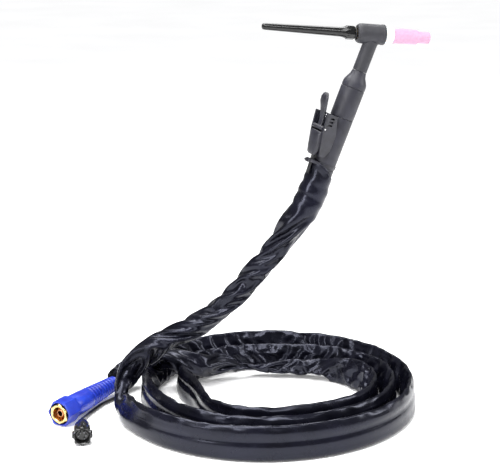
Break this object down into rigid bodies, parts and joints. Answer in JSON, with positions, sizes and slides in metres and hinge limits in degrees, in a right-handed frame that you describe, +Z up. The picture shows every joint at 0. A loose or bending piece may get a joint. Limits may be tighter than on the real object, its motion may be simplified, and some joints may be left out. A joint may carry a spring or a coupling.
{
  "type": "tig torch",
  "caption": "Air-cooled TIG welding torch with long back cap, ceramic nozzle, lever switch, covered cable, gas and power connector and control plug.",
  "frame": {"origin": "on the handle axis, at the middle of the grip", "axes": "+X towards the nozzle, +Y away from the viewer in front, +Z up; the handle leans 21 degrees from +Z in the XZ plane"},
  "size_m": [0.4812, 0.372, 0.4981],
  "materials": {
    "black_rubber": "matt moulded rubber, fine texture",
    "black_phenolic": "gloss moulded phenolic",
    "black_nylon": "satin moulded nylon",
    "leatherette": "glossy coated leatherette",
    "white_ptfe": "turned, waxy",
    "pink_alumina": "unglazed sintered alumina",
    "brass": "turned and milled, bright",
    "copper": "drawn or turned copper alloy",
    "steel": "bright drawn",
    "tungsten": "ground",
    "blue_rubber": "satin moulded rubber"
  },
  "bodies": {
    "torch": {"torch_head_body": "black_rubber", "head_core": "brass", "cup_gasket": "white_ptfe", "collet_body": "copper", "collet": "copper", "neck_tube": "copper", "handle_nose": "black_rubber", "handle_front": "black_rubber", "handle_rear": "black_rubber", "handle_tail": "black_rubber", "cable_fitting": "brass", "power_cable": "black_rubber", "switch_housing": "black_nylon", "switch_cover": "black_nylon", "lever_pin": "steel", "microswitch": "black_nylon", "lever_spring": "steel", "switch_lead": "black_rubber", "cable_tie": "black_nylon", "cable_cover_top": "leatherette", "cable_riser": "leatherette", "cable_coil": "leatherette", "cable_tail": "leatherette", "connector_boot": "blue_rubber", "connector_nipple": "copper", "connector_ferrule": "brass", "plug_body": "black_nylon", "plug_insert": "black_nylon", "plug_gland": "black_nylon", "control_lead": "black_rubber", "plug_pin_1": "brass", "plug_pin_2": "brass", "plug_pin_3": "brass", "plug_pin_4": "brass", "plug_pin_5": "brass"},
    "trigger_lever": {"trigger_lever": "black_nylon"},
    "switch_plunger": {"switch_plunger": "black_nylon"},
    "cap_carriage": {"back_cap_o_ring": "black_rubber"},
    "back_cap": {"back_cap": "black_phenolic", "back_cap_insert": "brass"},
    "nozzle": {"nozzle": "pink_alumina"},
    "electrode": {"electrode": "tungsten"},
    "connector_nut": {"connector_nut": "brass"},
    "plug_ring": {"plug_coupling_ring": "black_nylon"}
  },
  "joints": [
    {"name": "lever_press", "type": "hinge", "parent": "torch", "child": "trigger_lever", "pos_m": [-0.03218, -0.01064, -0.01035], "axis": [-0.3497, 0.9272, 0.1342], "range_deg": [0, 8], "stiffness_Nm_per_rad": 0.6, "springref_deg": -2.86, "deforming": ["lever_spring"]},
    {"name": "plunger_press", "type": "slide", "parent": "torch", "child": "switch_plunger", "axis": [0.8656, 0.3746, -0.3323], "range_m": [0, 0.0015]},
    {"name": "cap_turn", "type": "hinge", "parent": "cap_carriage", "child": "back_cap", "pos_m": [0.00405, 0, 0.10309], "axis": [-0.9962, 0, 0.0872], "range_deg": [0, 2521]},
    {"name": "cap_travel", "type": "slide", "parent": "torch", "child": "cap_carriage", "axis": [-0.9962, 0, 0.0872], "range_m": [0, 0.00875]},
    {"name": "nozzle_turn", "type": "hinge", "parent": "torch", "child": "nozzle", "pos_m": [0.07378, 0, 0.09699], "axis": [0.9962, 0, -0.0872], "continuous": true},
    {"name": "electrode_slide", "type": "slide", "parent": "torch", "child": "electrode", "axis": [0.9962, 0, -0.0872], "range_m": [0, 0.012]},
    {"name": "nut_spin", "type": "hinge", "parent": "torch", "child": "connector_nut", "pos_m": [-0.362, 0.001, -0.3652], "axis": [-0.6428, -0.766, 0], "continuous": true},
    {"name": "plug_ring_spin", "type": "hinge", "parent": "torch", "child": "plug_ring", "pos_m": [-0.338, -0.066, -0.3692], "axis": [-0.0872, -0.9962, 0], "continuous": true}
  ],
  "couplings": [
    {"joint": "plunger_press", "follows": "lever_press", "m_per_rad": 0.0097},
    {"joint": "cap_turn", "follows": "cap_travel", "rad_per_m": 5026.5}
  ]
}
